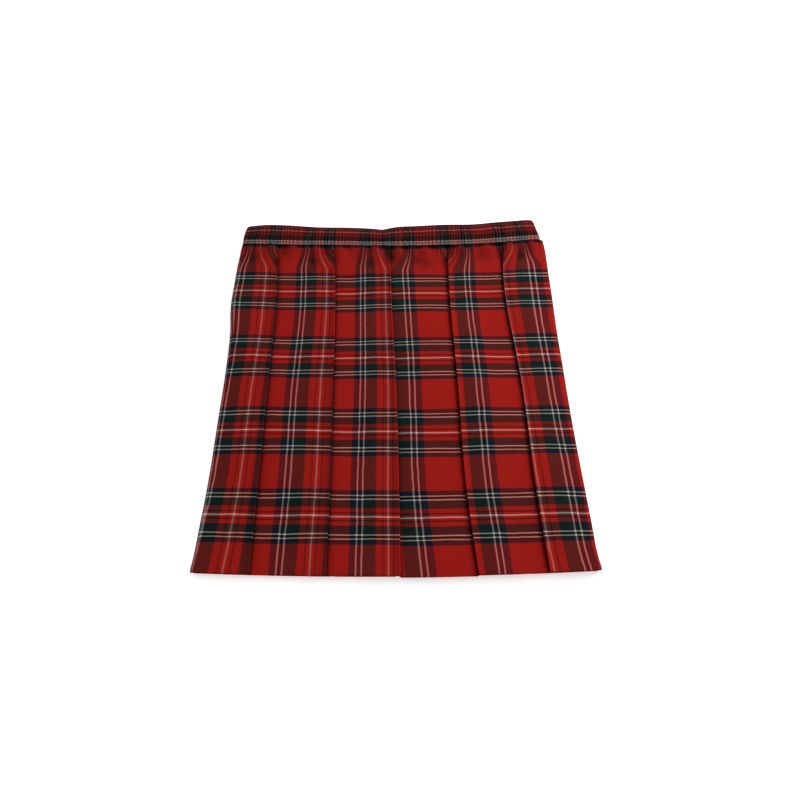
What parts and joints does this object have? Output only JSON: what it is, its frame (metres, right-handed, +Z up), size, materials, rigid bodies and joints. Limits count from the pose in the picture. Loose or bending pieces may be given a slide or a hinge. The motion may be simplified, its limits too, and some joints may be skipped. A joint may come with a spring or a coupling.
{
  "type": "plaid skirt",
  "caption": "Child's tartan skirt laid flat, front up, with soft knife pleats from hem to waist, a gathered elastic casing turned over at the top and a narrow hem.",
  "frame": {"origin": "middle of the bottom of the box round the laid skirt, on the surface it lies on", "axes": "+X to the right across the front, +Y from the hem to the waist, +Z up out of the front"},
  "size_m": [0.2712, 0.4106, 0.0091],
  "materials": {
    "tartan_cloth": "matt twill",
    "tartan_casing": "matt twill"
  },
  "bodies": {
    "root": {"skirt_body": "tartan_cloth", "waist_casing": "tartan_casing"}
  },
  "joints": []
}
